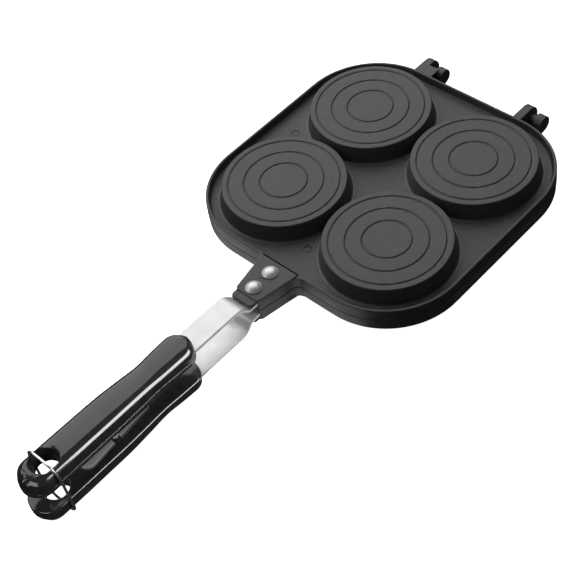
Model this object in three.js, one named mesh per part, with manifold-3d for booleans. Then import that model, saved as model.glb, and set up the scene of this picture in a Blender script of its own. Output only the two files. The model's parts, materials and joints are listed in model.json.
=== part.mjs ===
// Hinged double egg pan: two cast halves with four round cups each, joined by a hinge at the back.
// Each half carries a riveted steel strap and a moulded grip, and a wire ring locks the grips together.
// Millimetres, +Z up, grips towards -Y, hinge towards +Y. The halves meet at z = 0 while the pan is
// built, and the finished pan is then set on z = 0 by its lowest point.
import * as THREE from 'three';
import * as BufferGeometryUtils from 'three/addons/utils/BufferGeometryUtils.js';
import Module from 'manifold-3d';

const wasm = await Module();
wasm.setup();

// Clearances
const seatGap = 0.3;          // between pieces that rest on each other
const cutOverrun = 1;         // how far a cutter reaches past the face it opens

// Cups, seen from outside as round bosses
const bossTopRadius = 39;
const bossDraft = 2;          // how much wider the boss is at its foot
const bossHeight = 13.9;      // above the parting plane
const bossEdge = 0.9;
const bossFootFillet = 1.3;
const bossSpacing = 0.4;      // between the feet of two neighbours
const cupWall = 2;
const cupFloorFillet = 3;
const cupMouthRound = 0.8;
const grooveRadii = [14.8, 24.85, 34.8];
const grooveWidth = 1.3;
const grooveDepth = 0.4;

// Casting around the cups
const floorHeight = 2.65;     // outer face of the web, above the parting plane
const floorBand = 6.45;       // from a boss foot to the rim's inner wall
const rimWall = 2.55;
const rimHeight = 7.9;
const rimEdge = 0.5;
const rimDraft = 0.2;
const rimInnerDraft = 0.5;

// Tongue that carries the strap
const tongueLength = 28.1;    // from the rim's outer face
const tongueFrontHalfWidth = 9.4;
const tongueFlareHalfWidth = 12.4;
const tongueFlareLength = 18.3;
const tongueRootHalfWidth = 17.5;
const tongueTop = 8.8;
const tonguePlate = 2.6;
const tongueCheek = 1.1;
const tongueStep = 0.8;       // shallow step between the rim and the tongue's plate
const tongueCorner = 1.5;
const noseLength = 5;
const noseHalfWidth = 8.4;
const noseTop = 7.8;
const noseCorner = 2.5;

// Strap, bent up from the tongue to the grip
const strapWidth = 16;
const strapThickness = 2;
const strapRise = 6.3;
const strapBendLength = 10.4;
const strapHandleShares = [0.24, 0.4];   // of its length, where the bend's two handles lie
const strapExposed = 41;      // from the nose of the tongue to the grip
const tangLength = 77.7;      // inside the grip

// Rivets
const rivetShankRadius = 2.4;
const rivetHeadRadius = 4.9;
const rivetHeadHeight = 2.2;
const rivetTailRadius = 4;
const rivetTailHeight = 1.4;
const rivetFrontSetback = 6.3;  // from the tongue's front edge
const rivetSpacing = 14.2;

// Grips
const gripLength = 123.2;
const gripHalfWidth = 11.9;
const gripInnerFace = 7.2;    // above the parting plane
const gripHeight = 12.9;
const gripShoulder = 6;
const gripFlangeHeight = 3.4;
const gripFlangeStep = 0.45;
const gripFaceEdge = 0.8;
const gripCrownRise = 0.5;
const gripNoseRound = 9;
const gripNoseDome = 5;
const gripTailRound = 11;
const gripTailDome = 7;
const hangingHoleRadius = 7.3;
const hangingHoleFlare = 2.7;
const hangingHoleSetback = 17.1;   // from the grip's far end
const recessLength = 53;
const recessHalfWidth = 7.6;
const recessDepth = 1.9;      // along the middle of its hollow floor
const recessSlope = 3;
const recessSetback = 33.6;   // from the grip's far end

// Grip screws, sunk in the recess
const screwHeadRadius = 2.5;
const screwHeadHeight = 1.3;
const screwShankRadius = 1.5;
const screwEngagement = 4;    // above the tang
const screwSlotWidth = 0.9;
const screwSlotDepth = 0.6;

// Hinge
const lugRadius = 7.6;
const lugWidth = 5.9;
const hingeReach = 11.1;      // from the rim to the hinge axis
const barrelRadius = 5.55;
const barrelWidth = 6.1;
const knuckleGap = 4.4;       // between a lug and its barrel
const pinRadius = 3.6;
const pinClearance = 0.3;
const pinEndInset = 0.5;      // pin end inside the lug's outer face
const knuckleSpacing = 79.4;
const knuckleShift = 2.1;
const stopTabThickness = 1.5;
const stopTabReach = 8.5;     // from the rim
const stopTabOverlap = 3.5;   // past the knuckle gap, over the barrel
const castingRootDepth = 2;   // how deep a lug or the tongue reaches into the rim

// Locking ring
const ringWireRadius = 0.8;
const ringClearance = 0.35;
const ringCornerRadius = 8.8;
const ringSetback = 16.7;     // from the grips' far end, where the ring crosses the parting plane
const ringLean = 0.6;         // how far its top leans towards the far end

// Counts
const bossSides = 32;
const filletSteps = 2;
const cornerSteps = 8;
const shaftSides = 16;
const roundSteps = 5;
const bendSteps = 8;
const gripEndSteps = 5;
const domeSteps = 3;
const ringSides = 8;
const ringCornerSteps = 5;

// The grip's outline between its rounded ends: place along it, half-width and height, as shares
const gripShapeShares = [
  [0.085, 0.95, 0.911],
  [0.16, 0.925, 0.888],
  [0.26, 0.882, 0.853],
  [0.38, 0.93, 0.922],
  [0.5, 0.975, 0.98],
  [0.65, 0.987, 0.995],
  [0.8, 1, 1],
];
const gripLastRingShare = 0.98;    // of the round's depth, where the first and last sections lie
const noseDropShare = 0.3;         // of the height, lost under the dome at the front end
const tailDropShare = 0.6;         // and at the far end

// Where a section of the grip's rounded ends gets small, its details shrink to these shares
const sectionFlangeShare = 1 / 2;  // of its height
const sectionEdgeShare = 1 / 3;    // of its flange
const sectionShoulderShare = 0.9;  // of the room beside and above its flange
const sectionCrownShare = 1 / 9;   // of its height

// Places worked out from the sizes above
const halfGap = seatGap / 2;
const bossFootRadius = bossTopRadius + bossDraft;
const bossCentre = bossFootRadius + bossSpacing / 2;
const rimCornerRadius = bossFootRadius + floorBand + rimWall;
const rimHalfWidth = bossCentre + rimCornerRadius;
const tongueFront = -(rimHalfWidth + tongueLength);
const noseFront = tongueFront - noseLength;
const channelTop = tongueTop - tonguePlate;
const strapLow = channelTop - seatGap - strapThickness / 2;
const strapHigh = strapLow + strapRise;
const gripFront = noseFront - strapExposed;
const gripEnd = gripFront - gripLength;
const gripCrown = gripInnerFace + gripHeight;
const hangingHolePlace = gripEnd + hangingHoleSetback;
const recessMiddle = gripEnd + recessSetback + recessLength / 2;
const recessFloor = gripInnerFace + recessDepth;
const recessRadius = (recessHalfWidth ** 2 + recessDepth ** 2) / (2 * recessDepth);
const hingeAxis = rimHalfWidth + hingeReach;
const rivetPlaces = {
  front: tongueFront + rivetFrontSetback,
  rear: tongueFront + rivetFrontSetback + rivetSpacing,
};
const knuckleWidth = lugWidth + knuckleGap + barrelWidth;
const knuckleStarts = [-1, 1].map(
  (side) => knuckleShift + (side * knuckleSpacing - knuckleWidth) / 2);

// Materials
function finish(color, roughness, metalness) {
  return new THREE.MeshStandardMaterial({ color, roughness, metalness });
}
const castCoating = finish(0x4c4d50, 0.55, 0.25);
const strapSteel = finish(0xd6d7d9, 0.28, 1);
const rivetSteel = finish(0xc4c5c8, 0.22, 1);
const gripPlastic = finish(0x17181a, 0.22, 0);
const screwSteel = finish(0xb2b4b8, 0.35, 1);
const ringSteel = finish(0xdedfe1, 0.18, 1);

// Joining and cutting
function toSolid(geometry) {
  const bare = geometry.clone();
  bare.deleteAttribute('normal');
  bare.deleteAttribute('uv');
  const merged = BufferGeometryUtils.mergeVertices(bare);
  return new wasm.Manifold(new wasm.Mesh({
    numProp: 3,
    vertProperties: merged.attributes.position.array,
    triVerts: Uint32Array.from(merged.index.array),
  }));
}

function toGeometry(solid) {
  const { vertProperties, triVerts } = solid.getMesh();
  const geometry = new THREE.BufferGeometry();
  geometry.setAttribute('position', new THREE.BufferAttribute(vertProperties, 3));
  geometry.setIndex(new THREE.BufferAttribute(triVerts, 1));
  geometry.computeVertexNormals();
  return geometry;
}

function joined(first, ...others) {
  return others.reduce((sum, geometry) => sum.add(toSolid(geometry)), first);
}

function cut(first, ...others) {
  return others.reduce((rest, geometry) => rest.subtract(toSolid(geometry)), first);
}

// Basic forms
function turned(profile, sides) {
  const points = profile.map(([radius, height]) => new THREE.Vector2(radius, height));
  return new THREE.LatheGeometry(points, sides).rotateX(Math.PI / 2);
}

function rod(radius, low, high, sides = shaftSides) {
  return turned([[0, low], [radius, low], [radius, high], [0, high]], sides);
}

function block(x0, x1, y0, y1, z0, z1) {
  const box = new THREE.BoxGeometry(x1 - x0, y1 - y0, z1 - z0);
  return box.translate((x0 + x1) / 2, (y0 + y1) / 2, (z0 + z1) / 2);
}

function slab(shape, low, high) {
  const options = { depth: high - low, bevelEnabled: false, curveSegments: roundSteps };
  return new THREE.ExtrudeGeometry(shape, options).translate(0, 0, low);
}

// A shape drawn in Y and Z, drawn out along X
function sideSlab(shape, x0, x1, steps = roundSteps) {
  const options = { depth: x1 - x0, bevelEnabled: false, curveSegments: steps };
  const turn = new THREE.Matrix4().makeBasis(
    new THREE.Vector3(0, 1, 0), new THREE.Vector3(0, 0, 1), new THREE.Vector3(1, 0, 0));
  return new THREE.ExtrudeGeometry(shape, options).applyMatrix4(turn).translate(x0, 0, 0);
}

// A skin through rings of equal point counts, closed by flat ends or, if looped, on itself
function skinned(rings, looped = false) {
  const count = rings[0].length;
  const points = rings.flat();
  const faces = [];
  const bands = looped ? rings.length : rings.length - 1;
  for (let band = 0; band < bands; band += 1) {
    const low = band * count;
    const high = ((band + 1) % rings.length) * count;
    for (let i = 0; i < count; i += 1) {
      const j = (i + 1) % count;
      faces.push(low + i, low + j, high + j, low + i, high + j, high + i);
    }
  }
  if (!looped) {
    const lastStart = points.length - count;
    for (const [ring, start, flip] of [[rings[0], 0, true], [rings.at(-1), lastStart, false]]) {
      const middle = points.length;
      const opposite = ring[Math.floor(count / 2)];
      points.push(new THREE.Vector3().lerpVectors(ring[0], opposite, 1 / 2));
      for (let i = 0; i < count; i += 1) {
        const a = start + i;
        const b = start + ((i + 1) % count);
        faces.push(...(flip ? [b, a, middle] : [a, b, middle]));
      }
    }
  }
  const geometry = new THREE.BufferGeometry().setFromPoints(points);
  geometry.setIndex(faces);
  return geometry;
}

function piece(name, geometry, material) {
  const mesh = new THREE.Mesh(geometry, material);
  mesh.name = name;
  return mesh;
}

// Cast half
function rimRing(inset, height) {
  const radius = rimCornerRadius - inset;
  const ring = [];
  for (let quarter = 0; quarter < 4; quarter += 1) {
    const middle = (quarter + 0.5) * Math.PI / 2;
    const x = Math.sign(Math.cos(middle)) * bossCentre;
    const y = Math.sign(Math.sin(middle)) * bossCentre;
    for (let step = 0; step <= cornerSteps; step += 1) {
      const angle = (quarter + step / cornerSteps) * Math.PI / 2;
      ring.push(new THREE.Vector3(x + radius * Math.cos(angle), y + radius * Math.sin(angle), height));
    }
  }
  return ring;
}

function outerBlock() {
  return skinned([
    rimRing(0, halfGap),
    rimRing(rimDraft, rimHeight - rimEdge),
    rimRing(rimDraft + rimEdge, rimHeight),
  ]);
}

function outerRecess() {
  return skinned([
    rimRing(rimWall, floorHeight),
    rimRing(rimWall - rimInnerDraft, rimHeight - rimEdge),
    rimRing(rimWall - rimInnerDraft - rimEdge, rimHeight),
    rimRing(rimWall - rimInnerDraft - rimEdge, tongueTop + cutOverrun),
  ]);
}

function arcProfile(centreRadius, centreHeight, radius, fromAngle, toAngle, steps) {
  return Array.from({ length: steps + 1 }, (_, step) => {
    const angle = THREE.MathUtils.degToRad(fromAngle + (toAngle - fromAngle) * step / steps);
    return [centreRadius + radius * Math.cos(angle), centreHeight + radius * Math.sin(angle)];
  });
}

function bossForm() {
  const grooves = grooveRadii.toReversed().flatMap((radius) => [
    [radius + grooveWidth / 2, bossHeight],
    [radius, bossHeight - grooveDepth],
    [radius - grooveWidth / 2, bossHeight],
  ]);
  return turned([
    [0, halfGap],
    [bossFootRadius, halfGap],
    [bossFootRadius + bossFootFillet, floorHeight],
    [bossFootRadius, floorHeight + bossFootFillet],
    [bossTopRadius + bossEdge / 2, bossHeight - bossEdge],
    [bossTopRadius - bossEdge / 2, bossHeight],
    ...grooves,
    [0, bossHeight],
  ], bossSides);
}

function cupForm() {
  const mouthRadius = bossFootRadius - cupWall;
  const filletCentre = bossTopRadius - cupWall - cupFloorFillet;
  const depth = bossHeight - cupWall;
  return turned([
    [0, -cutOverrun],
    [mouthRadius + cupMouthRound, -cutOverrun],
    [mouthRadius + cupMouthRound, halfGap],
    [mouthRadius, halfGap + cupMouthRound],
    ...arcProfile(filletCentre, depth - cupFloorFillet, cupFloorFillet, 0, 90, filletSteps),
    [0, depth],
  ], bossSides);
}

function fourCups(form) {
  return [-1, 1].flatMap((x) =>
    [-1, 1].map((y) => form().translate(x * bossCentre, y * bossCentre, 0)));
}

function tongueOutline(inset) {
  const front = tongueFront + (inset > 0 ? -cutOverrun : 0);
  const flare = tongueFront + tongueFlareLength;
  const corner = inset > 0 ? 0 : tongueCorner;
  const root = -rimHalfWidth + (inset > 0 ? 0 : castingRootDepth);
  const frontHalfWidth = tongueFrontHalfWidth - inset;
  const flareHalfWidth = tongueFlareHalfWidth - inset;
  const rootHalfWidth = inset > 0 ? flareHalfWidth : tongueRootHalfWidth;
  const shape = new THREE.Shape();
  shape.moveTo(-frontHalfWidth + corner, front);
  shape.lineTo(frontHalfWidth - corner, front);
  shape.lineTo(frontHalfWidth, front + corner);
  shape.lineTo(flareHalfWidth, flare);
  shape.quadraticCurveTo(flareHalfWidth, -rimHalfWidth, rootHalfWidth, -rimHalfWidth);
  shape.lineTo(rootHalfWidth, root);
  shape.lineTo(-rootHalfWidth, root);
  shape.lineTo(-rootHalfWidth, -rimHalfWidth);
  shape.quadraticCurveTo(-flareHalfWidth, -rimHalfWidth, -flareHalfWidth, flare);
  shape.lineTo(-frontHalfWidth, front + corner);
  return shape;
}

function noseForm() {
  const shape = new THREE.Shape();
  shape.moveTo(-noseHalfWidth, tongueFront + tongueCorner);
  shape.lineTo(-noseHalfWidth, noseFront + noseCorner);
  shape.quadraticCurveTo(-noseHalfWidth, noseFront, -noseHalfWidth + noseCorner, noseFront);
  shape.lineTo(noseHalfWidth - noseCorner, noseFront);
  shape.quadraticCurveTo(noseHalfWidth, noseFront, noseHalfWidth, noseFront + noseCorner);
  shape.lineTo(noseHalfWidth, tongueFront + tongueCorner);
  return slab(shape, channelTop, noseTop);
}

function tongueCutters() {
  const rootStep = block(
    -tongueRootHalfWidth - cutOverrun, tongueRootHalfWidth + cutOverrun,
    -rimHalfWidth - tongueStep, -rimHalfWidth + castingRootDepth + cutOverrun,
    rimHeight, tongueTop + cutOverrun);
  const channel = slab(tongueOutline(tongueCheek), -cutOverrun, channelTop);
  const holes = Object.values(rivetPlaces).map((place) =>
    rod(rivetShankRadius + seatGap, channelTop - cutOverrun, tongueTop + cutOverrun)
      .translate(0, place, 0));
  return [rootStep, channel, ...holes];
}

// Rim's outer face, at a distance x from the middle
function rimPlace(x) {
  const pastCorner = Math.max(Math.abs(x) - bossCentre, 0);
  return bossCentre + Math.sqrt(rimCornerRadius ** 2 - pastCorner ** 2);
}

// Lugs of the upper half: a bored plate on the rim, and on one side a stop tab over the barrel
function lugForm(start) {
  const root = rimPlace(Math.max(Math.abs(start), Math.abs(start + lugWidth))) - castingRootDepth;
  const shape = new THREE.Shape();
  shape.moveTo(root, halfGap);
  shape.lineTo(hingeAxis - lugRadius, halfGap);
  shape.absarc(hingeAxis, 0, lugRadius, Math.PI, 2.5 * Math.PI, false);
  shape.lineTo(root, lugRadius);
  const bore = new THREE.Path();
  bore.absarc(hingeAxis, 0, pinRadius + pinClearance, 0, 2 * Math.PI, true);
  shape.holes.push(bore);
  return sideSlab(shape, start, start + lugWidth, shaftSides);
}

function upperHingeParts() {
  const lugs = knuckleStarts.map(lugForm);
  const tabStart = knuckleStarts[0] + lugWidth - cutOverrun;
  const tabEnd = knuckleStarts[0] + lugWidth + knuckleGap + stopTabOverlap;
  const tab = block(tabStart, tabEnd, rimHalfWidth - castingRootDepth, rimHalfWidth + stopTabReach,
    lugRadius - stopTabThickness, lugRadius);
  return [...lugs, tab];
}

// Barrels of the lower half, drawn in its own turned frame: an arm to the rim and a pin that
// points to the lug
function barrelForm(start) {
  const end = start + barrelWidth;
  const root = rimPlace(Math.max(Math.abs(start), Math.abs(end))) - castingRootDepth;
  const shape = new THREE.Shape();
  shape.moveTo(root, halfGap);
  shape.lineTo(hingeAxis - barrelRadius, halfGap);
  shape.absarc(hingeAxis, 0, barrelRadius, Math.PI, 2.5 * Math.PI, false);
  shape.lineTo(root, rimHeight - rimEdge);
  return sideSlab(shape, start, end, shaftSides);
}

function lowerHingeParts() {
  return knuckleStarts.flatMap((lugStart) => {
    const barrelStart = lugStart + lugWidth + knuckleGap;
    const turnedStart = -(barrelStart + barrelWidth);
    const pinLength = knuckleGap + lugWidth - pinEndInset;
    const pin = rod(pinRadius, -cutOverrun, pinLength).rotateY(Math.PI / 2);
    return [barrelForm(turnedStart), pin.translate(-barrelStart, hingeAxis, 0)];
  });
}

function castHalf(hingeParts) {
  const tongue = slab(tongueOutline(0), halfGap, tongueTop);
  const outside = joined(toSolid(outerBlock()), tongue, ...hingeParts);
  const withBosses = joined(cut(outside, outerRecess()), ...fourCups(bossForm));
  const bored = cut(withBosses, ...fourCups(cupForm), ...tongueCutters());
  return toGeometry(joined(bored, noseForm()));
}

// Strap: a bent ribbon with two rivet holes and a screw hole
function strapForm() {
  const start = -rimHalfWidth - seatGap;
  const bendStart = noseFront;
  const bendEnd = bendStart - strapBendLength;
  const bend = new THREE.CubicBezierCurve(
    new THREE.Vector2(bendStart, strapLow),
    new THREE.Vector2(bendStart - strapBendLength * strapHandleShares[0], strapLow),
    new THREE.Vector2(bendStart - strapBendLength * strapHandleShares[1], strapHigh),
    new THREE.Vector2(bendEnd, strapHigh));
  const end = gripFront - tangLength;
  const middle = [
    new THREE.Vector2(start, strapLow),
    ...bend.getPoints(bendSteps),
    new THREE.Vector2(end, strapHigh),
  ];
  const directions = middle.map((_, i) => {
    const before = middle[Math.max(i - 1, 0)];
    const after = middle[Math.min(i + 1, middle.length - 1)];
    return new THREE.Vector2().subVectors(after, before).normalize();
  });
  const side = (sign) => middle.map((point, i) => {
    const across = new THREE.Vector2(-directions[i].y, directions[i].x);
    return point.clone().addScaledVector(across, sign * strapThickness / 2);
  });
  const shape = new THREE.Shape([...side(-1), ...side(1).reverse()]);
  const ribbon = sideSlab(shape, -strapWidth / 2, strapWidth / 2);
  const rivetHoles = Object.values(rivetPlaces).map((place) =>
    rod(rivetShankRadius + seatGap, strapLow - strapThickness, strapLow + strapThickness)
      .translate(0, place, 0));
  const screwHole = rod(
    screwShankRadius + seatGap, strapHigh - strapThickness, strapHigh + strapThickness)
    .translate(0, recessMiddle, 0);
  return toGeometry(cut(toSolid(ribbon), ...rivetHoles, screwHole));
}

// Rivet: a domed head over the tongue, a shank and a flat tail under the strap
function rivetForm() {
  const headSeat = tongueTop + seatGap;
  const tailSeat = strapLow - strapThickness / 2 - seatGap;
  const domeRadius = (rivetHeadRadius ** 2 + rivetHeadHeight ** 2) / (2 * rivetHeadHeight);
  const domeAngle = THREE.MathUtils.radToDeg(Math.asin(rivetHeadRadius / domeRadius));
  const dome = arcProfile(0, headSeat + rivetHeadHeight - domeRadius, domeRadius,
    90 - domeAngle, 90, domeSteps);
  return turned([
    [0, tailSeat - rivetTailHeight],
    [rivetTailRadius, tailSeat - rivetTailHeight],
    [rivetTailRadius, tailSeat],
    [rivetShankRadius, tailSeat],
    [rivetShankRadius, headSeat],
    ...dome.slice(0, -1),
    [0, headSeat + rivetHeadHeight],
  ], shaftSides);
}

// Grip
function gripSection(y, halfWidth, height) {
  const bodyHalfWidth = halfWidth - gripFlangeStep;
  const flange = Math.min(gripFlangeHeight, height * sectionFlangeShare);
  const edge = Math.min(gripFaceEdge, flange * sectionEdgeShare);
  const shoulderRoom = Math.min(bodyHalfWidth, height - flange);
  const shoulder = Math.min(gripShoulder, shoulderRoom * sectionShoulderShare);
  const shoulderTop = height - Math.min(gripCrownRise, height * sectionCrownShare);
  const right = [
    [halfWidth - edge, 0],
    [halfWidth, edge],
    [halfWidth, flange],
    [bodyHalfWidth, flange],
    ...arcProfile(bodyHalfWidth - shoulder, shoulderTop - shoulder, shoulder, 0, 90, roundSteps),
  ];
  const left = right.map(([x, z]) => [-x, z]).reverse();
  return [...right, [0, height], ...left].map(([x, z]) => new THREE.Vector3(x, y, gripInnerFace + z));
}

function roundedEnd(share) {
  return Math.sqrt(1 - share ** 2);
}

// Height left at a distance from one end of the grip, as a share
function domedHeight(distance, domeLength, dropShare) {
  return 1 - (1 - roundedEnd(Math.max(1 - distance / domeLength, 0))) * dropShare;
}

function gripStations() {
  const stations = [];
  const [, frontWidthShare, frontHeightShare] = gripShapeShares[0];
  for (let step = 0; step < gripEndSteps; step += 1) {
    const share = Math.sin(Math.asin(gripLastRingShare) * (1 - step / gripEndSteps));
    const along = gripNoseRound * (1 - share);
    const height = domedHeight(along, gripNoseDome, noseDropShare);
    stations.push([along, roundedEnd(share) * frontWidthShare, height * frontHeightShare]);
  }
  for (const [along, width, height] of gripShapeShares) {
    stations.push([along * gripLength, width, height]);
  }
  for (let step = 0; step <= gripEndSteps; step += 1) {
    const share = Math.sin(Math.asin(gripLastRingShare) * step / gripEndSteps);
    const distance = gripTailRound * (1 - share);
    const height = domedHeight(distance, gripTailDome, tailDropShare);
    stations.push([gripLength - distance, roundedEnd(share), height]);
  }
  return stations;
}

function gripForm() {
  const rings = gripStations().map(([along, width, height]) =>
    gripSection(gripFront - along, width * gripHalfWidth, height * gripHeight));
  const body = toSolid(skinned(rings));
  const pocketHalfWidth = strapWidth / 2 + seatGap;
  const pocketHalfHeight = strapThickness / 2 + seatGap;
  const pocket = block(-pocketHalfWidth, pocketHalfWidth, gripFront - tangLength - seatGap,
    gripFront + cutOverrun, strapHigh - pocketHalfHeight, strapHigh + pocketHalfHeight);
  const flareRadius = hangingHoleRadius + hangingHoleFlare;
  const flareHeight = 2 * hangingHoleFlare;
  const hole = turned([
    [0, gripInnerFace - cutOverrun],
    [hangingHoleRadius, gripInnerFace - cutOverrun],
    [hangingHoleRadius, gripCrown - flareHeight],
    [hangingHoleRadius + hangingHoleFlare / 4, gripCrown - flareHeight / 2],
    [flareRadius, gripCrown],
    [flareRadius, gripCrown + cutOverrun],
    [0, gripCrown + cutOverrun],
  ], shaftSides).translate(0, hangingHolePlace, 0);
  const recessShape = new THREE.Shape();
  recessShape.moveTo(recessMiddle - recessLength / 2 - recessSlope, gripInnerFace - cutOverrun);
  recessShape.lineTo(recessMiddle + recessLength / 2 + recessSlope, gripInnerFace - cutOverrun);
  recessShape.lineTo(recessMiddle + recessLength / 2, recessFloor);
  recessShape.lineTo(recessMiddle - recessLength / 2, recessFloor);
  const recessSlab = toSolid(sideSlab(recessShape, -recessHalfWidth, recessHalfWidth));
  const hollow = rod(recessRadius, -recessLength, recessLength, bossSides).rotateX(Math.PI / 2)
    .translate(0, recessMiddle, recessFloor - recessRadius);
  const recess = recessSlab.intersect(toSolid(hollow));
  const screwHole = rod(screwShankRadius + seatGap, gripInnerFace,
    strapHigh + strapThickness / 2 + screwEngagement + seatGap).translate(0, recessMiddle, 0);
  return toGeometry(cut(body, pocket, hole, screwHole).subtract(recess));
}

// Screw: a low head with a slot, driven through the tang
function screwForm() {
  const headSeat = recessFloor - seatGap;
  const headTop = headSeat - screwHeadHeight;
  const solid = toSolid(turned([
    [0, headTop],
    [screwHeadRadius, headTop],
    [screwHeadRadius, headSeat],
    [screwShankRadius, headSeat],
    [screwShankRadius, strapHigh + strapThickness / 2 + screwEngagement],
    [0, strapHigh + strapThickness / 2 + screwEngagement],
  ], shaftSides));
  const slot = block(-screwHeadRadius - cutOverrun, screwHeadRadius + cutOverrun,
    -screwSlotWidth / 2, screwSlotWidth / 2, headTop - cutOverrun, headTop + screwSlotDepth);
  return toGeometry(cut(solid, slot));
}

// Locking ring: a wire loop with round corners round both grips, leaning slightly
function ringForm() {
  const rise = gripCrown + seatGap + ringWireRadius;
  const tilt = Math.atan2(ringLean, rise);
  const halfWidth = gripHalfWidth + ringClearance + ringWireRadius;
  const halfLength = Math.hypot(rise, ringLean);
  const sections = [];
  for (let quarter = 0; quarter < 4; quarter += 1) {
    const middle = (quarter + 0.5) * Math.PI / 2;
    const cornerX = Math.sign(Math.cos(middle)) * (halfWidth - ringCornerRadius);
    const cornerZ = Math.sign(Math.sin(middle)) * (halfLength - ringCornerRadius);
    for (let step = 0; step <= ringCornerSteps; step += 1) {
      const angle = (quarter + step / ringCornerSteps) * Math.PI / 2;
      const outward = new THREE.Vector3(Math.cos(angle), 0, Math.sin(angle));
      const centre = new THREE.Vector3(cornerX, 0, cornerZ).addScaledVector(outward, ringCornerRadius);
      sections.push(Array.from({ length: ringSides }, (_, side) => {
        const turn = 2 * Math.PI * side / ringSides;
        return centre.clone()
          .addScaledVector(outward, ringWireRadius * Math.cos(turn))
          .add(new THREE.Vector3(0, ringWireRadius * Math.sin(turn), 0));
      }));
    }
  }
  return skinned(sections, true).rotateX(tilt);
}

// One half with all that is fixed to it
function halfPan(prefix, hingeParts) {
  const half = new THREE.Group();
  half.add(piece(`${prefix}_plate`, castHalf(hingeParts), castCoating));
  half.add(piece(`${prefix}_strap`, strapForm(), strapSteel));
  for (const [place, y] of Object.entries(rivetPlaces)) {
    const rivet = piece(`${prefix}_rivet_${place}`, rivetForm(), rivetSteel);
    rivet.position.y = y;
    half.add(rivet);
  }
  half.add(piece(`${prefix}_grip`, gripForm(), gripPlastic));
  const screw = piece(`${prefix}_grip_screw`, screwForm(), screwSteel);
  screw.position.y = recessMiddle;
  half.add(screw);
  return half;
}

const upperHalf = halfPan('top', upperHingeParts());
const lowerHalf = halfPan('bottom', lowerHingeParts());
lowerHalf.rotation.y = Math.PI;

const ring = piece('lock_ring', ringForm(), ringSteel);
ring.position.y = gripEnd + ringSetback;

const pan = new THREE.Group();
pan.add(upperHalf, lowerHalf, ring);

// Set down on its lowest point, with the middle of its length over the origin
pan.updateMatrixWorld(true);
const bounds = new THREE.Box3().setFromObject(pan);
const centre = bounds.getCenter(new THREE.Vector3());
pan.position.set(-centre.x, -centre.y, -bounds.min.z);

export default pan;
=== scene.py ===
# The looks of a hinged double egg pan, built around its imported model.
# Metres, +Z up, grips towards -Y, hinge towards +Y. Each half of the pan is modelled in its own
# half frame: the middle of its four cups at x = y = 0, the parting plane at z = 0, outside up.
import json
import math

import bmesh
import bpy
from mathutils import Euler, Matrix, Vector


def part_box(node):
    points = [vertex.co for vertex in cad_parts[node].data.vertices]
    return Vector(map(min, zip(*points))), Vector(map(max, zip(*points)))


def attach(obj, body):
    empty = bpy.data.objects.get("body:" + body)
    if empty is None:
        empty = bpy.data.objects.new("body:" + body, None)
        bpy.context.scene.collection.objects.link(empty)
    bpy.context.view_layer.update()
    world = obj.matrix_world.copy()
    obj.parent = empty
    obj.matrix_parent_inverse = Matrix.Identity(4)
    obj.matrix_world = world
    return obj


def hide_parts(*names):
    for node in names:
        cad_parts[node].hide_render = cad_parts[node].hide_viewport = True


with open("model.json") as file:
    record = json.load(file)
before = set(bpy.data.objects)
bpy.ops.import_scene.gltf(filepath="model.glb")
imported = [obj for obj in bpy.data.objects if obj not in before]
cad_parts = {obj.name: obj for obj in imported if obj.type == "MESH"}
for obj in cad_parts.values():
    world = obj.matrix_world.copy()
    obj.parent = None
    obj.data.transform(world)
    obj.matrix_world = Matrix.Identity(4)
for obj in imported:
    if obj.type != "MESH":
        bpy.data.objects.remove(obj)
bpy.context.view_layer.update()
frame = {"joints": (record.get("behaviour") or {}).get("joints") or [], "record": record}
scene = bpy.context.scene

MM = 0.001
EPSILON = 1e-7

# Places taken from the frame
record = frame["record"]
stove_face = next(m for m in record["mounts"] if m["name"] == "stove_face")["pos_m"]
hinge_joint = next(j for j in frame["joints"] if j["name"] == "hinge")
hinge_place = hinge_joint["pos_m"]
parting = hinge_place[2]
boss_centre = stove_face[0]
pan_middle = stove_face[1] - boss_centre
boss_height = parting - stove_face[2]
hinge_axis = hinge_place[1] - pan_middle


def half_box(node):
    """A node's lowest and highest corner in the upper half's frame."""
    low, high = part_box(node)
    shift = Vector((0, pan_middle, parting))
    return low - shift, high - shift


plate_low, plate_high = half_box("top_plate")
strap_box_low, strap_box_high = half_box("top_strap")
grip_low, grip_high = half_box("top_grip")
screw_low, screw_high = half_box("top_grip_screw")
ring_low, ring_high = half_box("lock_ring")
rivet_boxes = {place: half_box(f"top_rivet_{place}") for place in ("front", "rear")}

# Casting
half_gap = 0.15 * MM           # half of the gap between the closed halves
rim_half_width = plate_high.x
rim_corner = rim_half_width - boss_centre
rim_wall = 2.55 * MM
rim_height = 7.9 * MM
rim_draft = 0.2 * MM
rim_inner_draft = 0.5 * MM
rim_foot_round = 0.35 * MM
rim_outer_round = 0.75 * MM
rim_inner_round = 0.5 * MM
floor_height = 2.65 * MM
floor_fillet = 1.4 * MM
boss_top_radius = 39 * MM
boss_draft = 2 * MM
boss_edge = 0.8 * MM
boss_fillet = 1.2 * MM
boss_root = 0.9 * MM           # where a boss starts, inside the floor
cup_wall = 2 * MM
cup_fillet = 3 * MM
cup_mouth_round = 0.8 * MM
groove_radii = (34.8 * MM, 24.85 * MM, 14.8 * MM)
groove_half_width = 0.95 * MM
groove_margin = 0.2 * MM
groove_depth = 0.55 * MM
foot_highlight_radius = 42.2 * MM   # the painted highlight line round a boss's foot
foot_highlight_half_width = 0.3 * MM
pin_marks = ((0.9 * MM, -67.9 * MM), (-72.7 * MM, 2.1 * MM))
pin_mark_radius = 2.9 * MM
pin_mark_width = 0.6 * MM
pin_mark_depth = 0.35 * MM
casting_root = 2 * MM          # how far the tongue and the hinge reach into the rim

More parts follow.
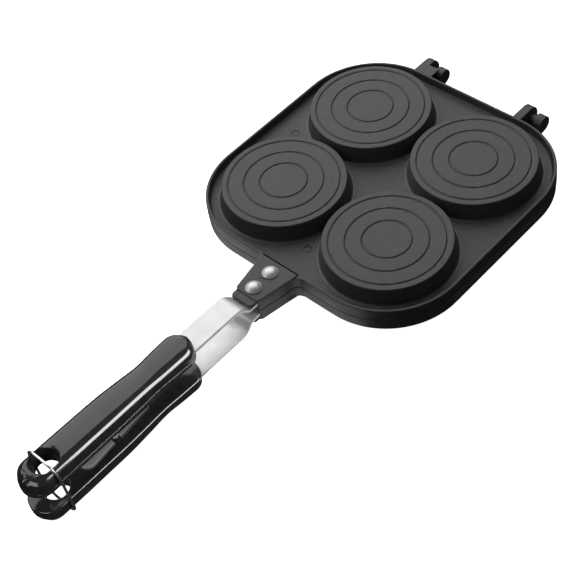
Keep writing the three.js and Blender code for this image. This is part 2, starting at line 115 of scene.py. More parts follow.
# Tongue
tongue_length = 28.1 * MM
tongue_front_half_width = 9.3 * MM
tongue_back_half_width = 14.35 * MM
tongue_flare_half_width = 12.4 * MM
tongue_flare_length = 18.3 * MM
tongue_root_half_width = 17.5 * MM
tongue_top = 8.8 * MM
tongue_plate = 2.6 * MM
tongue_cheek = 1.1 * MM
tongue_corner = 1.5 * MM
tongue_chamfer = 0.8 * MM
tongue_edge_round = rim_outer_round / 2
plate_back_margin = 1.05 * MM  # from the plate's back to the inside of the rim
joint_back_margin = 0.8 * MM   # from the back of the joint groove behind it, which has painted shade, to the inside of the rim
joint_width = 1.5 * MM
joint_depth = 1.9 * MM
channel_round = 0.6 * MM
nose_half_width = 8.4 * MM
nose_corner = 2.5 * MM
nose_top = 7.8 * MM
nose_round = 1 * MM
nose_foot_round = 0.3 * MM
dent_start = (-3 * MM, -106.6 * MM)
dent_reach = (5 * MM, 4 * MM)
dent_wave = 0.7 * MM
dent_radius = 0.3 * MM
dent_end_share = 0.15          # of the half turn that its thickness follows, left out at each end

# Strap, rivets and screws
strap_half_width = strap_box_high.x
strap_thickness = 2 * MM
strap_edge = 0.35 * MM
strap_bend_length = 10.4 * MM
strap_handle_shares = (0.24, 0.4)   # of its length, where the bend's two handles lie
rivet_shank_radius = 2.4 * MM
rivet_head_height = 2.2 * MM
rivet_rim_height = 0.35 * MM
rivet_rim_round = 0.25 * MM
rivet_shoulder_share = 0.85    # of the rim's height, where it turns into the dome
rivet_tail_radius = 4 * MM
rivet_tail_height = 1.4 * MM
screw_head_height = 1.3 * MM
screw_shank_radius = 1.5 * MM
screw_edge = 0.35 * MM
screw_slot_width = 0.9 * MM
screw_slot_depth = 0.6 * MM
seat_gap = 0.3 * MM

# Grips
grip_flange_height = 3.4 * MM
grip_flange_step = 0.45 * MM
grip_face_edge = 1.6 * MM
grip_shoulder = 6.6 * MM
grip_shoulder_share = 0.9      # the most of a small section that its shoulder takes
grip_crown_rise = 0.4 * MM
grip_crown_ratio = 9           # the least height of a section over its crown's rise
grip_nose_round = 9 * MM
grip_nose_dome = 5 * MM
grip_tail_round = 11 * MM
grip_tail_dome = 7 * MM
hole_radius = 7.3 * MM
hole_flare = 2.7 * MM
hole_flare_height = 5.4 * MM
hole_inner_round = 0.9 * MM
hole_setback = 17.1 * MM
recess_length = 53 * MM
recess_half_width = 7.6 * MM
recess_depth = 1.9 * MM
recess_slope = 3 * MM
recess_end_round = 6 * MM
recess_front_share = 0.36      # width at the front of the recess
recess_least_share = 0.03      # of its width and depth, at its very ends
recess_setback = 33.6 * MM

# Outline of a grip: place along it, half-width and height, as shares of the whole
grip_shape_shares = (
    (0.085, 0.95, 0.911),
    (0.16, 0.925, 0.888),
    (0.26, 0.882, 0.853),
    (0.38, 0.93, 0.922),
    (0.5, 0.975, 0.98),
    (0.65, 0.987, 0.995),
    (0.8, 1, 1),
)
nose_drop_share = 0.3
tail_drop_share = 0.6
last_ring_share = 0.985

# Hinge
lug_radius = plate_high.y - hinge_axis
lug_width = 5.9 * MM
barrel_radius = 5.55 * MM
barrel_width = 6.1 * MM
knuckle_gap = 4.4 * MM
pin_radius = 3.6 * MM
pin_clearance = 0.3 * MM
pin_end_inset = 0.5 * MM
knuckle_spacing = 79.4 * MM
knuckle_shift = 2.1 * MM
stop_tab_thickness = 1.5 * MM
stop_tab_reach = 8.5 * MM
stop_tab_overlap = 3.5 * MM
cast_edge = 0.5 * MM

# Ring
ring_wire_radius = 0.8 * MM
ring_corner = 8.8 * MM

overrun = 1 * MM               # how far a cutter reaches past what it cuts

# Places worked out from the values above
tongue_front = -(rim_half_width + tongue_length)
nose_front = plate_low.y
channel_top = tongue_top - tongue_plate
rim_inside = -rim_half_width + rim_wall
joint_back = rim_inside - joint_back_margin
strap_low = strap_box_low.z + strap_thickness / 2
strap_high = strap_box_high.z - strap_thickness / 2
screw_place = (screw_low.y + screw_high.y) / 2
grip_length = grip_high.y - grip_low.y
grip_inner = grip_low.z
grip_height = grip_high.z - grip_low.z
knuckle_width = lug_width + knuckle_gap + barrel_width
knuckle_starts = [knuckle_shift + (side * knuckle_spacing - knuckle_width) / 2 for side in (-1, 1)]

# Counts
BOSS_SEGMENTS = 128
CUP_SEGMENTS = 96
HOLE_SEGMENTS = 96
SMALL_SEGMENTS = 48
WIRE_SEGMENTS = 16
DENT_SEGMENTS = 8
CORNER_STEPS = 24
FINE_ARC_STEPS = 12
ARC_STEPS = 6
EDGE_STEPS = 4
COARSE_STEPS = 3
GROOVE_STEPS = 8
BEND_STEPS = 24
GRIP_STATIONS = 64
GRIP_END_STEPS = 16
SHOULDER_STEPS = 14
CROWN_STEPS = 6
RECESS_STEPS = 40

# Signs of x and y in the four quarters of a plane, in order of their angles
QUARTERS = ((1, 1), (-1, 1), (-1, -1), (1, -1))

SHARP_ANGLE = 32               # degrees between two faces, from which their edge stays sharp

# Level faces keep flat normals up to their edges
STRONG_FACE = 16384
LEVEL_NORMAL = 0.9999


# Outlines
def arc(centre, radius, start, end, steps=ARC_STEPS):
    """Points of an arc in a plane, from one angle in degrees to another."""
    points = []
    for step in range(steps + 1):
        angle = math.radians(start + (end - start) * step / steps)
        points.append((centre[0] + radius * math.cos(angle), centre[1] + radius * math.sin(angle)))
    return points


def circle(radius, count):
    """Points of a whole circle round the origin of a plane."""
    angles = [2 * math.pi * i / count for i in range(count)]
    return [(radius * math.cos(angle), radius * math.sin(angle)) for angle in angles]


def rounded_rectangle(centre_x, centre_y, radius, steps):
    """A closed outline, from the place of its first corner arc's centre."""
    outline = []
    for quarter, (x, y) in enumerate(QUARTERS):
        centre = (x * centre_x, y * centre_y)
        outline += arc(centre, radius, 90 * quarter, 90 * (quarter + 1), steps)
    return outline


def mirrored(right):
    """A closed outline from its half at x > 0."""
    return right + [(-x, y) for x, y in reversed(right)]


def inset_outline(points, distance):
    """A closed outline, counter-clockwise, with each side moved inwards by a distance."""
    result = []
    count = len(points)
    for i, point in enumerate(points):
        here = Vector(point)
        before = (here - Vector(points[i - 1])).normalized()
        after = (Vector(points[(i + 1) % count]) - here).normalized()
        normal = Vector((-before.y, before.x)) + Vector((-after.y, after.x))
        scale = distance * 2 / max(normal.length_squared, EPSILON)
        result.append(here + normal * scale)
    return result


def edge_profile(low, high, low_round, high_round, steps=ARC_STEPS):
    """(inset, height) pairs of an upright wall with both edges rounded."""
    foot = [(low_round - x, z) for x, z in arc((0, low + low_round), low_round, 270, 360, steps)]
    head = [(high_round - x, z) for x, z in arc((0, high - high_round), high_round, 0, 90, steps)]
    return foot + head


def headings(path):
    """The direction of travel at each point of a path."""
    last = len(path) - 1
    return [(path[min(i + 1, last)] - path[max(i - 1, 0)]).normalized() for i in range(last + 1)]


# Meshes
def lathe(profile, segments):
    """A solid turned about Z from a profile of (radius, height) that starts and ends on the axis."""
    mesh = bmesh.new()
    rings = []
    for radius, height in profile:
        if radius < EPSILON:
            rings.append([mesh.verts.new((0, 0, height))])
        else:
            rings.append([mesh.verts.new((x, y, height)) for x, y in circle(radius, segments)])
    for low, high in zip(rings, rings[1:]):
        for i in range(segments):
            j = (i + 1) % segments
            corners = [low[i % len(low)], low[j % len(low)], high[j % len(high)], high[i % len(high)]]
            unique = list(dict.fromkeys(corners))
            if len(unique) > 2:
                mesh.faces.new(unique)
    return mesh


def skin(rings, looped=False):
    """A solid through rings of equal point counts, with flat ends or closed on itself."""
    mesh = bmesh.new()
    rows = [[mesh.verts.new(point) for point in ring] for ring in rings]
    pairs = list(zip(rows, rows[1:]))
    if looped:
        pairs.append((rows[-1], rows[0]))
    for low, high in pairs:
        for i in range(len(low)):
            j = (i + 1) % len(low)
            mesh.faces.new((low[i], low[j], high[j], high[i]))
    if not looped:
        mesh.faces.new(rows[0][::-1])
        mesh.faces.new(rows[-1])
    return mesh


def moved(mesh, matrix):
    bmesh.ops.transform(mesh, matrix=matrix, verts=mesh.verts)
    return mesh


def shifted(mesh, x=0, y=0, z=0):
    return moved(mesh, Matrix.Translation((x, y, z)))


def slab(outline, low, high, low_round, high_round, steps=ARC_STEPS):
    rings = []
    for inset, height in edge_profile(low, high, low_round, high_round, steps):
        rings.append([(x, y, height) for x, y in inset_outline(outline, inset)])
    return skin(rings)


def side_slab(outline, start, end, edge):
    """A slab whose outline is drawn in Y and Z, from x = start to x = end."""
    mesh = slab(outline, start, end, edge, edge, COARSE_STEPS)
    return moved(mesh, Matrix(((0, 0, 1, 0), (1, 0, 0, 0), (0, 1, 0, 0), (0, 0, 0, 1))))


def block(low, high):
    x0, y0, z0 = low
    x1, y1, z1 = high
    corners = ((x0, y0), (x1, y0), (x1, y1), (x0, y1))
    return skin([[(x, y, z0) for x, y in corners], [(x, y, z1) for x, y in corners]])


def upright_rod(radius, low, high, y):
    """A rod between two heights on the pan's middle line."""
    return shifted(lathe(((0, low), (radius, low), (radius, high), (0, high)), SMALL_SEGMENTS), 0, y)


def to_object(name, mesh):
    """An object from a bmesh, with its faces pointing out."""
    bmesh.ops.remove_doubles(mesh, verts=mesh.verts, dist=EPSILON)
    bmesh.ops.recalc_face_normals(mesh, faces=mesh.faces)
    data = bpy.data.meshes.new(name)
    mesh.to_mesh(data)
    mesh.free()
    made = bpy.data.objects.new(name, data)
    scene.collection.objects.link(made)
    return made


def combined(name, base, steps):
    """The base solid with solids joined to it or cut from it, in order, as one new object."""
    whole = to_object(name, base)
    helpers = []
    for operation, meshes in steps:
        for mesh in meshes:
            helper = to_object("helper", mesh)
            helpers.append(helper)
            modifier = whole.modifiers.new("step", "BOOLEAN")
            modifier.operation = operation
            modifier.solver = "MANIFOLD"
            modifier.object = helper
    bpy.context.view_layer.update()
    depsgraph = bpy.context.evaluated_depsgraph_get()
    data = bpy.data.meshes.new_from_object(whole.evaluated_get(depsgraph))
    whole.modifiers.clear()
    whole.data = data
    data.name = name
    for helper in helpers:
        bpy.data.objects.remove(helper)
    return whole


def shade(made):
    """Smooth shading that keeps sharp edges and gives level faces the say over normals."""
    data = made.data
    data.polygons.foreach_set("use_smooth", [True] * len(data.polygons))
    data.set_sharp_from_angle(angle=math.radians(SHARP_ANGLE))
    level = data.attributes.new("__mod_weightednormals_faceweight", "INT", "FACE")
    level.data.foreach_set("value", [STRONG_FACE if abs(face.normal.z) > LEVEL_NORMAL else 0
                                     for face in data.polygons])
    weighted = made.modifiers.new("weighted", "WEIGHTED_NORMAL")
    weighted.keep_sharp = True
    weighted.use_face_influence = True


# Casting
def rim_outline(inset):
    return rounded_rectangle(boss_centre, boss_centre, rim_corner - inset, CORNER_STEPS)


def rim_skin(profile):
    return skin([[(x, y, height) for x, y in rim_outline(inset)] for inset, height in profile])


def outer_block():
    foot = [(rim_foot_round - x, z) for x, z in arc(
        (0, half_gap + rim_foot_round), rim_foot_round, 270, 360, COARSE_STEPS)]
    head = [(rim_draft + rim_outer_round - x, z) for x, z in arc(
        (0, rim_height - rim_outer_round), rim_outer_round, 0, 90)]
    return rim_skin(foot + head)


def floor_cutter():
    """The space inside the rim, above the floor."""
    wall_top = rim_wall - rim_inner_draft
    fillet = [(rim_wall + floor_fillet - x, z) for x, z in arc(
        (0, floor_height + floor_fillet), floor_fillet, 270, 360)]
    lip = [(wall_top - rim_inner_round + x, z) for x, z in arc(
        (0, rim_height - rim_inner_round), rim_inner_round, 0, 90)]
    return rim_skin(fillet + lip + [(wall_top - rim_inner_round, tongue_top + overrun)])


def wall_radius(height):
    """Radius of the boss's drafted wall at a height."""
    share = (height - floor_height) / (boss_height - floor_height)
    return boss_top_radius + boss_draft * (1 - share)


def boss_solid():
    draft = math.atan2(boss_draft, boss_height - floor_height)
    lean = math.degrees(draft)
    fillet_height = floor_height + boss_fillet
    fillet_centre = wall_radius(fillet_height) + boss_fillet / math.cos(draft)
    edge_height = boss_height - boss_edge
    edge_centre = wall_radius(edge_height) - boss_edge / math.cos(draft)
    profile = [(0, boss_root), (fillet_centre, boss_root)]
    profile += arc((fillet_centre, fillet_height), boss_fillet, 270, 180 + lean)
    profile += arc((edge_centre, edge_height), boss_edge, lean, 90)
    for radius in groove_radii:
        profile.append((radius + groove_half_width + groove_margin, boss_height))
        for step in range(GROOVE_STEPS + 1):
            along = 1 - 2 * step / GROOVE_STEPS
            dip = groove_depth * (1 + math.cos(math.pi * along)) / 2
            profile.append((radius + along * groove_half_width, boss_height - dip))
        profile.append((radius - groove_half_width - groove_margin, boss_height))
    profile.append((0, boss_height))
    return lathe(profile, BOSS_SEGMENTS)


def cup_cutter():
    mouth = boss_top_radius + boss_draft - cup_wall
    depth = boss_height - cup_wall
    bottom = boss_top_radius - cup_wall
    mouth_centre = (mouth + cup_mouth_round, half_gap + cup_mouth_round)
    profile = [(0, -overrun), (mouth_centre[0], -overrun)]
    profile += arc(mouth_centre, cup_mouth_round, 270, 180)
    profile += arc((bottom - cup_fillet, depth - cup_fillet), cup_fillet, 0, 90)
    profile.append((0, depth))
    return lathe(profile, CUP_SEGMENTS)


def four(build):
    return [shifted(build(), x * boss_centre, y * boss_centre) for x in (-1, 1) for y in (-1, 1)]


def pin_mark_cutter(place):
    """A shallow round groove that an ejector pin left in the floor."""
    inner = pin_mark_radius - pin_mark_width
    low = floor_height - pin_mark_depth
    middle = low + pin_mark_depth / 2
    high = floor_height + overrun
    profile = ((0, middle), (inner, middle), (pin_mark_radius - pin_mark_width / 2, low),
               (pin_mark_radius, floor_height), (pin_mark_radius, high), (0, high))
    return shifted(lathe(profile, SMALL_SEGMENTS), *place)


def tongue_base():
    """The tongue's lower body, with hollow curves to the rim at both sides."""
    flare = tongue_front + tongue_flare_length
    right = [
        (tongue_front_half_width - tongue_corner, tongue_front),
        (tongue_front_half_width, tongue_front + tongue_corner),
        (tongue_flare_half_width, flare),
    ]
    for step in range(1, FINE_ARC_STEPS + 1):
        share = step / FINE_ARC_STEPS
        keep = (1 - share) ** 2
        turn = 2 * share * (1 - share)
        x = (keep + turn) * tongue_flare_half_width + share ** 2 * tongue_root_half_width
        y = keep * flare - (turn + share ** 2) * rim_half_width
        right.append((x, y))
    right.append((tongue_root_half_width, -rim_half_width + casting_root))
    return slab(mirrored(right), half_gap, rim_height, rim_foot_round, tongue_edge_round, EDGE_STEPS)


def tongue_top_plate():
    """The raised plate under the rivet heads, chamfered all round."""
    outline = mirrored([
        (tongue_front_half_width - tongue_corner, tongue_front),
        (tongue_front_half_width, tongue_front + tongue_corner),
        (tongue_back_half_width, rim_inside - plate_back_margin),
    ])
    bulge = tongue_chamfer / 3
    rings = []
    for inset, height in ((0, channel_top), (0, tongue_top - tongue_chamfer),
                          (bulge, tongue_top - bulge), (tongue_chamfer, tongue_top)):
        rings.append([(x, y, height) for x, y in inset_outline(outline, inset)])
    return skin(rings)


def tongue_channel():
    """The hollow under the tongue that the strap lies in."""
    side = tongue_flare_half_width - tongue_cheek
    outline = mirrored([
        (tongue_front_half_width - tongue_cheek, tongue_front - overrun),
        (side, tongue_front + tongue_flare_length),
        (side, -rim_half_width),
    ])
    return slab(outline, -overrun, channel_top, 0, channel_round, COARSE_STEPS)


def tongue_nose():
    """The thinner lip in front of the plate, over the strap's bend."""
    back = tongue_front + tongue_corner
    side = nose_half_width - nose_corner
    outline = [(nose_half_width, back), (-nose_half_width, back)]
    outline += arc((-side, nose_front + nose_corner), nose_corner, 180, 270)
    outline += arc((side, nose_front + nose_corner), nose_corner, 270, 360)
    return slab(outline, channel_top, nose_top, nose_foot_round, nose_round)


def tongue_joint():
    """The narrow joint between the tongue's raised plate and the pan."""
    return block((-tongue_back_half_width, joint_back - joint_width, tongue_top - joint_depth),
                 (tongue_back_half_width, joint_back, tongue_top + overrun))


def casting_mark():
    """A small curved dent that the casting has between the rivets."""
    path = []
    for step in range(FINE_ARC_STEPS + 1):
        share = step / FINE_ARC_STEPS
        wave = dent_wave * math.sin(2 * math.pi * share)
        x, y = (start + reach * share for start, reach in zip(dent_start, dent_reach))
        path.append(Vector((x, y + wave, tongue_top)))
    rings = []
    for i, (middle, ahead) in enumerate(zip(path, headings(path))):
        across = Vector((-ahead.y, ahead.x, 0))
        share = dent_end_share + (1 - 2 * dent_end_share) * i / FINE_ARC_STEPS
        radius = dent_radius * math.sin(math.pi * share)
        rings.append([middle + across * x + Vector((0, 0, z)) for x, z in circle(radius, DENT_SEGMENTS)])
    return skin(rings)


def rivet_place(place):
    low, high = rivet_boxes[place]
    return (low.y + high.y) / 2


def rivet_holes(low, high):
    """Cutters for both rivets' holes, between two heights."""
    return [upright_rod(rivet_shank_radius + seat_gap, low, high, rivet_place(place))
            for place in rivet_boxes]


def rim_place(x):
    """Y of the rim's outer face at a distance x from the middle."""
    past = max(abs(x) - boss_centre, 0)
    return boss_centre + math.sqrt(rim_corner ** 2 - past ** 2)


def knuckle(start, width, radius, root_height):
    """A block on the rim that ends in a round eye about the hinge axis, from x = start."""
    root = rim_place(max(abs(start), abs(start + width))) - casting_root
    outline = [(root, half_gap), (hinge_axis - radius, half_gap)]
    outline += arc((hinge_axis, 0), radius, 180, 450, 3 * FINE_ARC_STEPS)
    outline.append((root, root_height))
    return side_slab(outline, start, start + width, cast_edge)


def cross_rod(radius, start, end, edge):
    """A rod along X on the hinge axis."""
    profile = [(radius - inset, x) for inset, x in edge_profile(start, end, edge, edge, COARSE_STEPS)]
    rod = lathe([(0, start), *profile, (0, end)], SMALL_SEGMENTS)
    return moved(rod, Matrix.Translation((0, hinge_axis, 0)) @ Matrix.Rotation(math.pi / 2, 4, "Y"))


def upper_hinge():
    """Lugs and a stop tab to add, and bores to cut."""
    added, bores = [], []
    for start in knuckle_starts:
        added.append(knuckle(start, lug_width, lug_radius, lug_radius))
        bores.append(cross_rod(pin_radius + pin_clearance, start - overrun, start + lug_width + overrun, 0))
    tab_start = knuckle_starts[0] + lug_width - overrun
    tab_end = knuckle_starts[0] + lug_width + knuckle_gap + stop_tab_overlap
    tab_low, tab_high = rim_half_width - casting_root, rim_half_width + stop_tab_reach
    corners = ((tab_start, tab_low), (tab_end, tab_low), (tab_end, tab_high), (tab_start, tab_high))
    tab_bottom = lug_radius - stop_tab_thickness
    tab_edge = cast_edge / 2
    added.append(slab(corners, tab_bottom, lug_radius, tab_edge, tab_edge, COARSE_STEPS))
    return added, bores


def lower_hinge():
    """Barrels with their pins to add, and nothing to cut."""
    added = []
    for lug_start in knuckle_starts:
        barrel_start = lug_start + lug_width + knuckle_gap
        added.append(knuckle(-(barrel_start + barrel_width), barrel_width, barrel_radius,
                             rim_height - cast_edge))
        pin_end = -barrel_start + knuckle_gap + lug_width - pin_end_inset
        added.append(cross_rod(pin_radius, -barrel_start - overrun, pin_end, cast_edge))
    return added, []


def casting(name, hinge_parts):
    added, bores = hinge_parts
    rivet_cutters = rivet_holes(channel_top - overrun, tongue_top + overrun)
    return combined(name, outer_block(), (
        ("UNION", [tongue_base(), *added]),
        ("DIFFERENCE", [floor_cutter()]),
        ("UNION", [*four(boss_solid), tongue_top_plate()]),
        ("DIFFERENCE", [*four(cup_cutter), tongue_channel(), *rivet_cutters, *bores]),
        ("UNION", [tongue_nose()]),
        ("DIFFERENCE", [*map(pin_mark_cutter, pin_marks), casting_mark(), tongue_joint()]),
    ))


# Strap
def strap_path():
    """The strap's middle line, from its root under the tongue to the end of its tang."""
    path = [Vector((0, strap_box_high.y, strap_low))]
    first, second = strap_handle_shares
    for step in range(BEND_STEPS + 1):
        share = step / BEND_STEPS
        ease = 3 * share ** 2 - 2 * share ** 3
        drawn = 3 * share * (1 - share) * ((1 - share) * first + share * second) + share ** 3
        y = nose_front - strap_bend_length * drawn
        path.append(Vector((0, y, strap_low + (strap_high - strap_low) * ease)))
    path.append(Vector((0, strap_box_low.y, strap_high)))
    return path


def strap(name):
    outline = rounded_rectangle(
        strap_half_width - strap_edge, strap_thickness / 2 - strap_edge, strap_edge, COARSE_STEPS)
    path = strap_path()
    rings = []
    for middle, ahead in zip(path, headings(path)):
        normal = Vector((0, ahead.z, -ahead.y))
        rings.append([middle + Vector((x, 0, 0)) + normal * z for x, z in outline])
    holes = rivet_holes(strap_low - strap_thickness, strap_low + strap_thickness)
    holes.append(upright_rod(screw_shank_radius + seat_gap, strap_high - strap_thickness,
                             strap_high + strap_thickness, screw_place))
    return combined(name, skin(rings), (("DIFFERENCE", holes),))


# Rivets
def rivet(name, place):
    low, high = rivet_boxes[place]
    head_radius = (high.y - low.y) / 2
    head_seat = high.z - rivet_head_height
    tail_seat = low.z + rivet_tail_height
    dome_height = rivet_head_height - rivet_rim_height
    dome_base = head_radius - rivet_rim_round
    dome_radius = (dome_base ** 2 + dome_height ** 2) / (2 * dome_height)
    dome_angle = math.degrees(math.asin(dome_base / dome_radius))
    profile = [
        (0, low.z),
        (rivet_tail_radius - rivet_rim_round, low.z),
        (rivet_tail_radius, low.z + rivet_rim_round),
        (rivet_tail_radius, tail_seat),
        (rivet_shank_radius, tail_seat),
        (rivet_shank_radius, head_seat),
        (head_radius - rivet_rim_round, head_seat),
        (head_radius, head_seat + rivet_rim_round / 2),
        (head_radius, head_seat + rivet_rim_height / 2),
        (head_radius - rivet_rim_round / 3, head_seat + rivet_rim_height * rivet_shoulder_share),
    ]
    profile += arc((0, high.z - dome_radius), dome_radius, 90 - dome_angle, 90, FINE_ARC_STEPS)[:-1]
    profile.append((0, high.z))
    return to_object(name, shifted(lathe(profile, SMALL_SEGMENTS), 0, rivet_place(place)))


# Grip
def smooth_share(along, column):
    """The shape table read at a place along the grip, with smooth tangents."""
    table = grip_shape_shares
    last = len(table) - 1
    if along >= table[last][0]:
        return table[last][column]
    if along <= table[0][0]:
        return table[0][column]
    i = max(k for k in range(last) if table[k][0] <= along)

    def slope(k):
        if k == last:
            return 0
        before, after = table[max(k - 1, 0)], table[k + 1]
        return (after[column] - before[column]) / (after[0] - before[0])

    width = table[i + 1][0] - table[i][0]
    t = (along - table[i][0]) / width
    return ((1 + 2 * t) * (1 - t) ** 2 * table[i][column] + t * (1 - t) ** 2 * width * slope(i)
            + t ** 2 * (3 - 2 * t) * table[i + 1][column] - t ** 2 * (1 - t) * width * slope(i + 1))


def rounded_end(share):
    return math.sqrt(max(1 - share ** 2, 0))


def domed_height(distance, dome_length, drop_share):
    """Height left at a distance from one end of the grip, as a share."""
    return 1 - (1 - rounded_end(max(1 - distance / dome_length, 0))) * drop_share


def grip_stations():
    """Place along the grip from its front, width share and height share of each section."""
    stations = []
    top_angle = math.asin(last_ring_share)
    front_width, front_height = grip_shape_shares[0][1:]
    for step in range(GRIP_END_STEPS):
        share = math.sin(top_angle * (1 - step / GRIP_END_STEPS))
        along = grip_nose_round * (1 - share)
        height = domed_height(along, grip_nose_dome, nose_drop_share)
        stations.append((along, rounded_end(share) * front_width, height * front_height))
    start = grip_nose_round
    stop = grip_length - grip_tail_round
    for step in range(GRIP_STATIONS + 1):
        along = start + (stop - start) * step / GRIP_STATIONS
        share = along / grip_length
        stations.append((along, smooth_share(share, 1), smooth_share(share, 2)))
    for step in range(1, GRIP_END_STEPS + 1):
        share = math.sin(top_angle * step / GRIP_END_STEPS)
        distance = grip_tail_round * (1 - share)
        height = domed_height(distance, grip_tail_dome, tail_drop_share)
        stations.append((grip_length - distance, rounded_end(share), height))
    return stations


def grip_section(y, half_width, height):
    """One cross-section: flat inner face, flange, side, shoulder and crown."""
    body = half_width - grip_flange_step
    flange = min(grip_flange_height, height / 2)
    edge = min(grip_face_edge, flange / 2)
    step_round = min(grip_flange_step / 2, flange / 4)
    shoulder = min(grip_shoulder, min(body, height - flange) * grip_shoulder_share)
    crown_rise = min(grip_crown_rise, height / grip_crown_ratio)
    crown_start = body - shoulder
    shoulder_top = height - crown_rise
    right = arc((half_width - edge, edge), edge, 270, 360, EDGE_STEPS)
    right += arc((half_width - step_round, flange - step_round), step_round, 0, 90, COARSE_STEPS)
    right += arc((body + step_round, flange + step_round), step_round, 270, 180, COARSE_STEPS)[1:]
    right += arc((crown_start, shoulder_top - shoulder), shoulder, 0, 90, SHOULDER_STEPS)
    for step in range(1, CROWN_STEPS):
        share = step / CROWN_STEPS
        right.append((crown_start * (1 - share), shoulder_top + crown_rise * (1 - (1 - share) ** 2)))
    left = [(-x, z) for x, z in reversed(right)]
    return [(x, y, grip_inner + z) for x, z in [*right, (0, height), *left]]


def hanging_hole():
    crown = grip_high.z
    mouth = hole_radius + hole_inner_round
    profile = [(0, grip_inner - overrun), (mouth, grip_inner - overrun)]
    profile += arc((mouth, grip_inner + hole_inner_round), hole_inner_round, 270, 180)
    for step in range(FINE_ARC_STEPS + 1):
        angle = math.pi / 2 * step / FINE_ARC_STEPS
        profile.append((hole_radius + hole_flare * (1 - math.cos(angle)),
                        crown - hole_flare_height * (1 - math.sin(angle))))
    profile += [(hole_radius + hole_flare, crown + overrun), (0, crown + overrun)]
    return shifted(lathe(profile, HOLE_SEGMENTS), 0, grip_low.y + hole_setback)


def grip_recess():
    """The shallow hollow in the inner face, which widens to its round far end."""
    front = grip_low.y + recess_setback + recess_length
    radius = (recess_half_width ** 2 + recess_depth ** 2) / (2 * recess_depth)
    half_angle = math.degrees(math.asin(recess_half_width / radius))
    hollow = arc((0, recess_depth - radius), radius, 90 - half_angle, 90 + half_angle, 2 * FINE_ARC_STEPS)
    rings = []
    for step in range(RECESS_STEPS + 1):
        along = (1 - math.cos(math.pi * step / RECESS_STEPS)) / 2
        front_end = rounded_end(max(1 - along * recess_length / recess_slope, 0))
        back_end = rounded_end(max(1 - (1 - along) * recess_length / recess_end_round, 0))
        spread = (recess_front_share + (1 - recess_front_share) * along) * max(back_end, recess_least_share)
        rise = max(front_end * back_end, recess_least_share)
        section = [(recess_half_width, -overrun), *[(x, z * rise) for x, z in hollow],
                   (-recess_half_width, -overrun)]
        rings.append([(x * spread, front - along * recess_length, grip_inner + z) for x, z in section])
    return skin(rings)


def grip(name):
    rings = []
    for along, width, height in grip_stations():
        rings.append(grip_section(grip_high.y - along, width * grip_high.x, height * grip_height))
    pocket_half_width = strap_half_width + seat_gap
    pocket_half_height = strap_thickness / 2 + seat_gap
    pocket = block(
        (-pocket_half_width, strap_box_low.y - seat_gap, strap_high - pocket_half_height),
        (pocket_half_width, grip_high.y + overrun, strap_high + pocket_half_height))
    screw_hole = upright_rod(
        screw_shank_radius + seat_gap, grip_inner, screw_high.z + seat_gap, screw_place)
    cutters = [pocket, hanging_hole(), grip_recess(), screw_hole]
    return combined(name, skin(rings), (("DIFFERENCE", cutters),))


def screw(name):
    head_radius = screw_high.x
    seat = screw_low.z + screw_head_height
    profile = [
        (0, screw_low.z),
        (head_radius - screw_edge, screw_low.z),
        (head_radius, screw_low.z + screw_edge),
        (head_radius, seat),
        (screw_shank_radius, seat),
        (screw_shank_radius, screw_high.z),
        (0, screw_high.z),
    ]
    slot_half_length = head_radius + overrun
    slot = block((-slot_half_length, screw_place - screw_slot_width / 2, screw_low.z - overrun),
                 (slot_half_length, screw_place + screw_slot_width / 2, screw_low.z + screw_slot_depth))
    body = shifted(lathe(profile, SMALL_SEGMENTS), 0, screw_place)
    return combined(name, body, (("DIFFERENCE", [slot]),))


def locking_ring(name):
    """The wire loop, in the pan's own frame with z measured from the parting plane."""
    middle_y = (ring_low.y + ring_high.y) / 2
    half_width = ring_high.x - ring_wire_radius
    half_height = ring_high.z - ring_wire_radius
    lean = (ring_high.y - ring_low.y - 2 * ring_wire_radius) / 2
    sections = []
    for quarter, (x, z) in enumerate(QUARTERS):
        centre = (x * (half_width - ring_corner), z * (half_height - ring_corner))
        path = arc(centre, ring_corner, 90 * quarter, 90 * (quarter + 1), FINE_ARC_STEPS)
        for step, (along, height) in enumerate(path):
            angle = math.radians(90 * (quarter + step / FINE_ARC_STEPS))
            outward = Vector((math.cos(angle), 0, math.sin(angle)))
            place = Vector((along, middle_y - lean * height / half_height, height))
            sections.append([place + outward * out + Vector((0, side, 0))
                             for out, side in circle(ring_wire_radius, WIRE_SEGMENTS)])
    return to_object(name, skin(sections, looped=True))


# Material nodes
def node(tree, kind, inputs=None, **settings):
    made = tree.nodes.new("ShaderNode" + kind)
    for name, value in settings.items():
        setattr(made, name, value)
    for key, value in (inputs or {}).items():
        if isinstance(value, bpy.types.NodeSocket):
            tree.links.new(value, made.inputs[key])
        else:
            made.inputs[key].default_value = value
    return made


def maths(tree, operation, *values):
    return node(tree, "Math", dict(enumerate(values)), operation=operation).outputs[0]


def ramp(tree, factor, stops):
    made = node(tree, "ValToRGB", {"Fac": factor})
    elements = made.color_ramp.elements
    for element, (position, value) in zip(elements, stops, strict=True):
        element.position = position
        element.color = (*value, 1) if isinstance(value, tuple) else (value, value, value, 1)
    return made.outputs["Color"]


def noise(tree, place, size, detail=2, roughness=0.5):
    """Noise whose main features have a real size in metres."""
    made = node(tree, "TexNoise", {
        "Vector": place, "Scale": 1 / size, "Detail": detail, "Roughness": roughness})
    return made.outputs["Fac"]


def blend(tree, kind, factor, a, b):
    inputs = {0: factor, 6: a, 7: b}
    return node(tree, "Mix", inputs, data_type="RGBA", blend_type=kind).outputs[2]


def bump(tree, shader, height, depth, strength, below=None):
    """A bump for the shader, on top of another bump where one is given."""
    inputs = {"Height": height, "Distance": depth, "Strength": strength}
    if below is not None:
        inputs["Normal"] = below
    made = node(tree, "Bump", inputs)
    tree.links.new(made.outputs["Normal"], shader.inputs["Normal"])
    return made.outputs["Normal"]


